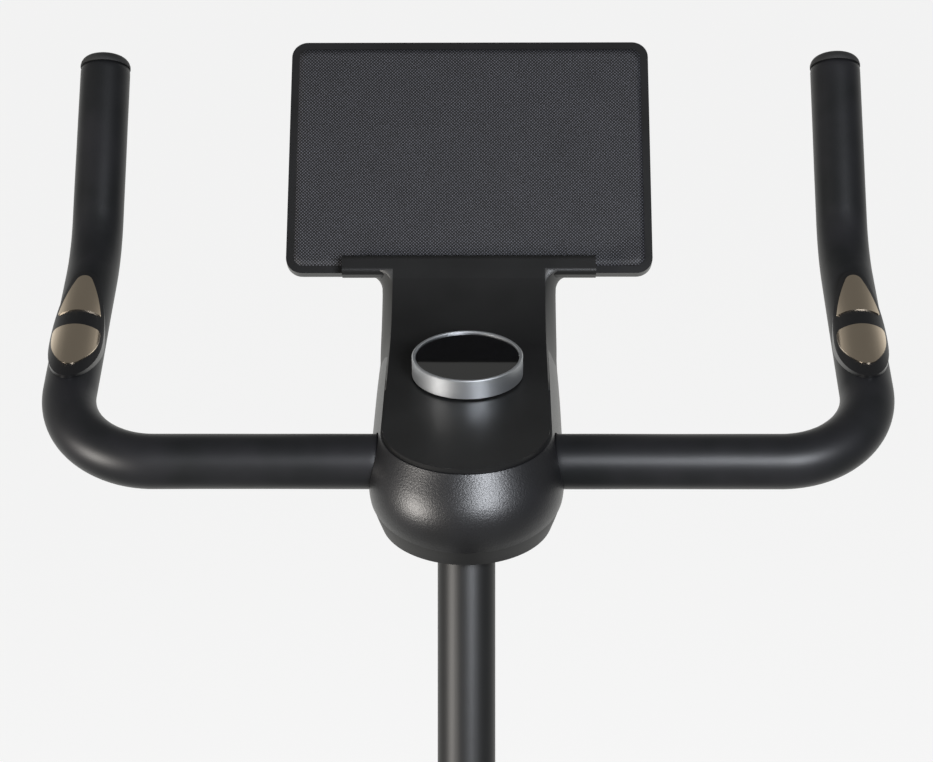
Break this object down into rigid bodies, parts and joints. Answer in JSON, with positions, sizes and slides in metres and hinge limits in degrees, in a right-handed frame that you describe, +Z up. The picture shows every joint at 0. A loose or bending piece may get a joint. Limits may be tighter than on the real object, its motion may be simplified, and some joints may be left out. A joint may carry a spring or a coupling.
{
  "type": "upright exercise bike",
  "caption": "Upright belt-driven exercise bike with a horned handlebar, pulse plates, a dial console, a tablet rest, a sliding saddle, strapped pedals and a shrouded flywheel.",
  "frame": {"origin": "on the floor, under the middle of the bike's length and width", "axes": "+Z up, +Y ahead of the rider, +X to the rider's right"},
  "size_m": [0.5798, 0.993, 1.3839],
  "materials": {
    "frame_paint": "satin black powder coat",
    "grip_skin": "soft moulded skin, fine wrinkles at the bends",
    "cap_plastic": "satin moulded",
    "plate_chrome": "polished",
    "face_plastic": "satin moulded",
    "shell_plastic": "fine grain",
    "rest_plastic": "satin moulded",
    "mat_rubber": "fine diagonal pattern",
    "dial_aluminium": "fine turned, bright bevel",
    "dial_plastic": "moulded",
    "screen_glass": "polished, dark tint",
    "board": "screen module",
    "fastener_steel": "zinc plated",
    "shroud_plastic": "fine grain",
    "disc_plastic": "satin anthracite",
    "boot_rubber": "matte",
    "wheel_rubber": "matte",
    "flywheel_iron": "turned",
    "pulley_plastic": "moulded",
    "belt_rubber": "ribbed",
    "magnet": "nickel plated",
    "crank_paint": "satin black",
    "pedal_plastic": "moulded",
    "seat_steel": "satin black",
    "knob_plastic": "moulded",
    "pan_plastic": "moulded",
    "saddle_cover": "soft polyurethane cover, fine grain"
  },
  "bodies": {
    "frame": {"main_frame": "frame_paint", "front_stabilizer": "frame_paint", "rear_stabilizer": "frame_paint", "stabilizer_bolts": "fastener_steel", "front_caps": "boot_rubber", "post_bolts": "fastener_steel", "post_boot": "boot_rubber", "handlebar_post": "frame_paint", "bar_clamp": "frame_paint", "bar_clamp_bolts": "fastener_steel", "handlebar_tube": "frame_paint", "left_grip": "grip_skin", "right_grip": "grip_skin", "bar_end_caps": "cap_plastic", "spine_plugs": "cap_plastic", "sensor_bezels": "cap_plastic", "pulse_plates": "plate_chrome", "console_face": "face_plastic", "console_bulb": "shell_plastic", "console_skirt": "shell_plastic", "rest_frame": "rest_plastic", "rest_mat": "mat_rubber", "left_shroud": "shroud_plastic", "right_shroud": "shroud_plastic", "power_inlet": "shroud_plastic", "crank_bearings": "fastener_steel", "flywheel_axle": "fastener_steel", "belt": "belt_rubber", "idler_arm": "frame_paint", "brake_motor": "pulley_plastic", "seat_bush": "pulley_plastic"},
    "crank": {"crank_axle": "fastener_steel", "drive_pulley": "pulley_plastic", "left_crank_arm": "crank_paint", "right_crank_arm": "crank_paint", "crank_caps": "cap_plastic", "pedal_spindles": "fastener_steel", "crank_discs": "disc_plastic"},
    "flywheel": {"flywheel": "flywheel_iron"},
    "idler": {"idler_pulley": "pulley_plastic"},
    "left_pedal": {"left_pedal": "pedal_plastic", "left_pedal_strap": "boot_rubber"},
    "right_pedal": {"right_pedal": "pedal_plastic", "right_pedal_strap": "boot_rubber"},
    "brake": {"brake_arm": "frame_paint", "brake_magnets": "magnet"},
    "seat_post": {"seat_post": "seat_steel"},
    "seat_knob": {"seat_height_knob": "knob_plastic"},
    "saddle": {"seat_slider": "seat_steel", "saddle_pan": "pan_plastic", "saddle_pad": "saddle_cover"},
    "slider_knob": {"slider_knob": "knob_plastic"},
    "left_wheel": {"left_transport_wheel": "wheel_rubber"},
    "right_wheel": {"right_transport_wheel": "wheel_rubber"},
    "left_cap": {"left_levelling_cap": "boot_rubber"},
    "right_cap": {"right_levelling_cap": "boot_rubber"},
    "display": {"dial_hub": "dial_plastic", "display_glass": "screen_glass", "display_board": "board"},
    "dial": {"dial_ring": "dial_aluminium"}
  },
  "joints": [
    {"name": "crank_spin", "type": "hinge", "parent": "frame", "child": "crank", "pos_m": [0, 0.04208, 0.335], "axis": [1, 0, 0], "continuous": true},
    {"name": "flywheel_spin", "type": "hinge", "parent": "frame", "child": "flywheel", "pos_m": [0, 0.268, 0.335], "axis": [1, 0, 0], "continuous": true},
    {"name": "idler_spin", "type": "hinge", "parent": "frame", "child": "idler", "pos_m": [0.039, 0.19434, 0.25481], "axis": [1, 0, 0], "continuous": true},
    {"name": "right_pedal_spin", "type": "hinge", "parent": "crank", "child": "right_pedal", "pos_m": [0.14, 0.19615, 0.26315], "axis": [1, 0, 0], "continuous": true},
    {"name": "left_pedal_spin", "type": "hinge", "parent": "crank", "child": "left_pedal", "pos_m": [-0.14, -0.11199, 0.40685], "axis": [1, 0, 0], "continuous": true},
    {"name": "brake_swing", "type": "hinge", "parent": "frame", "child": "brake", "pos_m": [0, 0.155, 0.482], "axis": [1, 0, 0], "range_deg": [0, 5]},
    {"name": "seat_height", "type": "slide", "parent": "frame", "child": "seat_post", "axis": [0, -0.2419, 0.9703], "range_m": [0, 0.15]},
    {"name": "seat_knob_turn", "type": "hinge", "parent": "frame", "child": "seat_knob", "pos_m": [0, -0.2408, 0.62555], "axis": [0, -0.9703, -0.2419], "range_deg": [-180, 180]},
    {"name": "saddle_slide", "type": "slide", "parent": "seat_post", "child": "saddle", "axis": [0, 1, 0], "range_m": [-0.03, 0.03]},
    {"name": "slider_knob_turn", "type": "hinge", "parent": "saddle", "child": "slider_knob", "pos_m": [0.04, -0.25193, 0.8025], "axis": [1, 0, 0], "range_deg": [-180, 180]},
    {"name": "right_wheel_spin", "type": "hinge", "parent": "frame", "child": "right_wheel", "pos_m": [0.212, 0.472, 0.034], "axis": [1, 0, 0], "continuous": true},
    {"name": "left_wheel_spin", "type": "hinge", "parent": "frame", "child": "left_wheel", "pos_m": [-0.212, 0.472, 0.034], "axis": [1, 0, 0], "continuous": true},
    {"name": "right_cap_turn", "type": "hinge", "parent": "frame", "child": "right_cap", "pos_m": [0.213, -0.466, 0.036], "axis": [1, 0, 0], "range_deg": [-50, 50]},
    {"name": "left_cap_turn", "type": "hinge", "parent": "frame", "child": "left_cap", "pos_m": [-0.213, -0.466, 0.036], "axis": [1, 0, 0], "range_deg": [-50, 50]},
    {"name": "dial_press", "type": "slide", "parent": "frame", "child": "display", "axis": [0, 0.2756, -0.9613], "range_m": [0, 0.0012], "stiffness_N_per_m": 4000, "springref_m": -0.0005},
    {"name": "dial_turn", "type": "hinge", "parent": "display", "child": "dial", "pos_m": [0, 0.27469, 1.1701], "axis": [0, -0.2756, 0.9613], "continuous": true}
  ],
  "couplings": [
    {"joint": "flywheel_spin", "follows": "crank_spin", "ratio": 7.1515},
    {"joint": "idler_spin", "follows": "crank_spin", "ratio": -5.3636}
  ]
}
